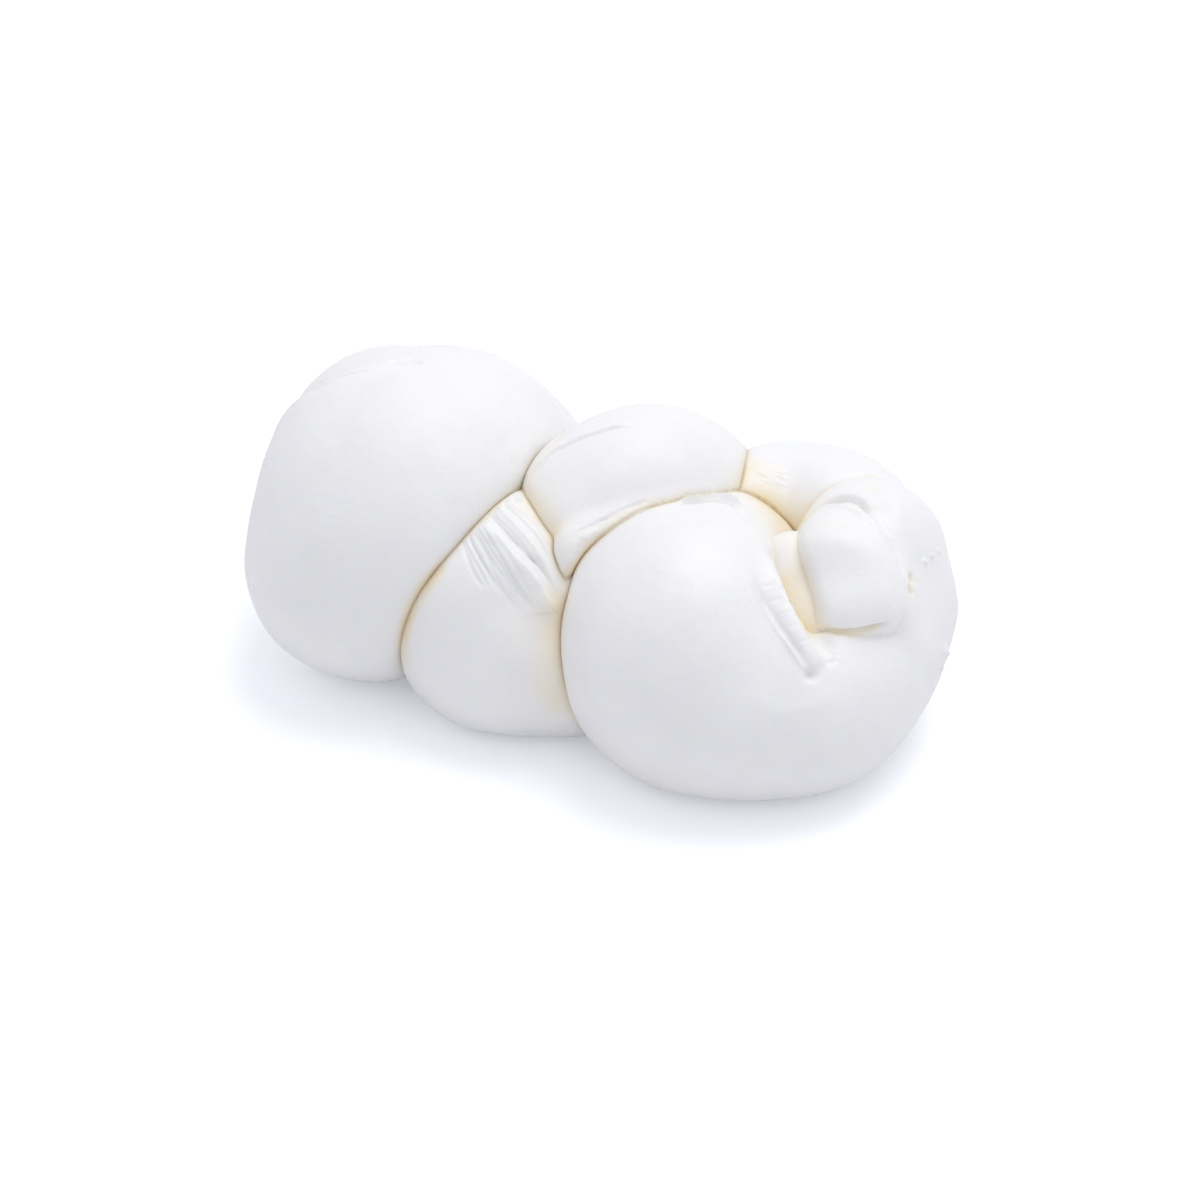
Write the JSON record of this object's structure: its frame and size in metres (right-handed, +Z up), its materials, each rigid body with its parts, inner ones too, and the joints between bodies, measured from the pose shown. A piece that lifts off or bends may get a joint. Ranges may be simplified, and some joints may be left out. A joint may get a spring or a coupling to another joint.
{
  "type": "braided buffalo mozzarella",
  "caption": "Plait of fresh stretched-curd white cheese: soft, swollen strands folded over each other, big round lobe at one end and a tucked-in knot at the other.",
  "frame": {"origin": "middle of the braid's overall box, on the surface it rests on", "axes": "+X along the braid, from the big round lobe to the knotted end; the front, where the wedge and the wrapped strand bulge out, faces -Y; +Z up"},
  "size_m": [0.155, 0.0878, 0.0648],
  "materials": {
    "cheese": null
  },
  "bodies": {
    "root": {"braid": "cheese"}
  },
  "joints": []
}
